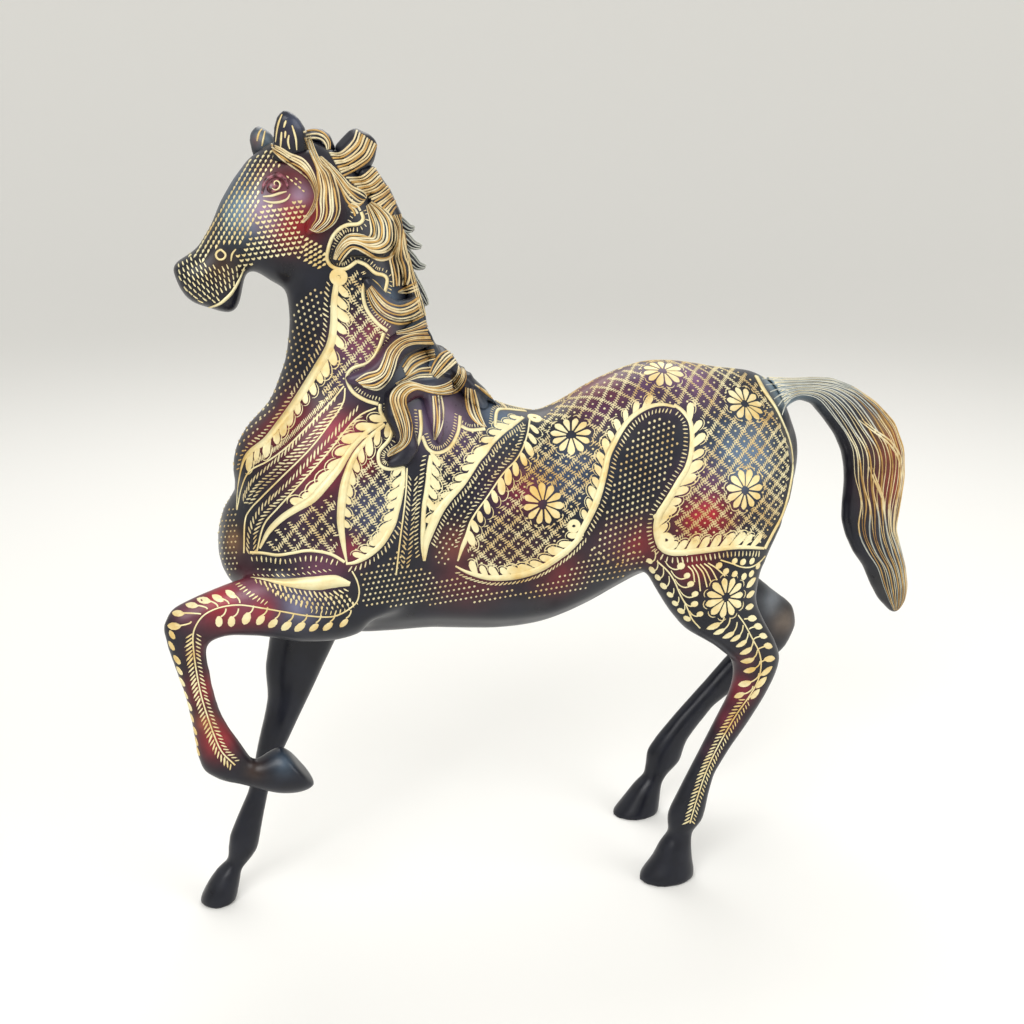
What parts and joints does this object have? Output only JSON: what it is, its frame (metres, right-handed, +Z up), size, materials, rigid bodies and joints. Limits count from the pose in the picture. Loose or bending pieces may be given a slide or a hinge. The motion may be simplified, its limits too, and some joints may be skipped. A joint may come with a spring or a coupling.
{
  "type": "horse figurine",
  "caption": "Standing horse figurine of hollow-cast brass with a raised foreleg, flowing mane and arched tail, enamelled dark and engraved with leaf and lattice ornament.",
  "frame": {"origin": "on the ground, at the middle of the figure's bounding box seen from above", "axes": "the horse faces -X, its left (near) side is -Y, +Z is up"},
  "size_m": [0.569, 0.136, 0.5605],
  "materials": {
    "enamelled_body": "glossy dark lacquer over cast brass, engraved through to the bright metal",
    "black_enamel": "plain glossy black lacquer over cast brass",
    "gilt_hair": "ridged hair strands with bright crests and dark lacquer in the grooves",
    "bare_brass": "turned and threaded brass"
  },
  "bodies": {
    "root": {"trunk_left_shell": "enamelled_body", "trunk_right_shell": "enamelled_body", "neck_left_shell": "enamelled_body", "neck_right_shell": "enamelled_body", "head_left_shell": "enamelled_body", "head_right_shell": "enamelled_body", "left_ear": "enamelled_body", "right_ear": "enamelled_body", "near_forearm": "enamelled_body", "near_fore_cannon_and_hoof": "enamelled_body", "near_gaskin": "enamelled_body", "near_hind_cannon_and_hoof": "enamelled_body", "off_forearm": "black_enamel", "off_fore_cannon_and_hoof": "black_enamel", "off_gaskin": "black_enamel", "off_hind_cannon_and_hoof": "black_enamel", "poll_tuft_front": "gilt_hair", "poll_tuft_rear": "gilt_hair", "forelock_left": "gilt_hair", "forelock_right": "gilt_hair", "mane_left": "gilt_hair", "mane_right": "gilt_hair", "tail": "gilt_hair", "tail_stud": "bare_brass", "tail_washer": "bare_brass", "tail_nut": "bare_brass"}
  },
  "joints": []
}
